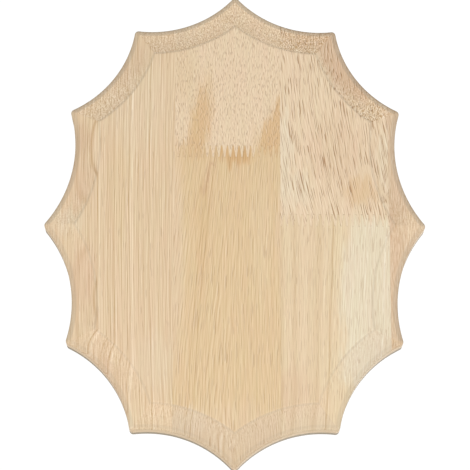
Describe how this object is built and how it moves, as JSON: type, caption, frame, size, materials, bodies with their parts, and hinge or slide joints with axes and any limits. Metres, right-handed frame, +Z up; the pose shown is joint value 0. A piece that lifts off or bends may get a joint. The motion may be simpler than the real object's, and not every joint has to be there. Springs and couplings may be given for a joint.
{
  "type": "oval wooden plaque",
  "caption": "Unfinished oval wall plaque of glued-up solid wood, with a scalloped, coved edge and a flat front panel for a picture, carving or sign.",
  "frame": {"origin": "middle of the flat back, which lies against the wall", "axes": "+Z up towards the top tip, +X to the right as seen from the front, +Y out of the back into the wall, so the front faces -Y"},
  "size_m": [0.2378, 0.018, 0.3048],
  "materials": {
    "left_wood": "sanded, unfinished, straight fine grain",
    "upper_middle_wood": "sanded, unfinished, short pore flecks and tan heart streaks",
    "lower_middle_wood": "sanded, unfinished, golden, straight fine grain",
    "upper_right_wood": "sanded, unfinished, bold slanting pore flecks",
    "lower_right_wood": "sanded, unfinished, pale straight grain",
    "edge_wood": "sanded, unfinished, pinkish, fine flecks"
  },
  "bodies": {
    "root": {"left_stave": "left_wood", "upper_middle_stave": "upper_middle_wood", "lower_middle_stave": "lower_middle_wood", "upper_right_stave": "upper_right_wood", "lower_right_stave": "lower_right_wood", "edge_stave": "edge_wood"}
  },
  "joints": []
}
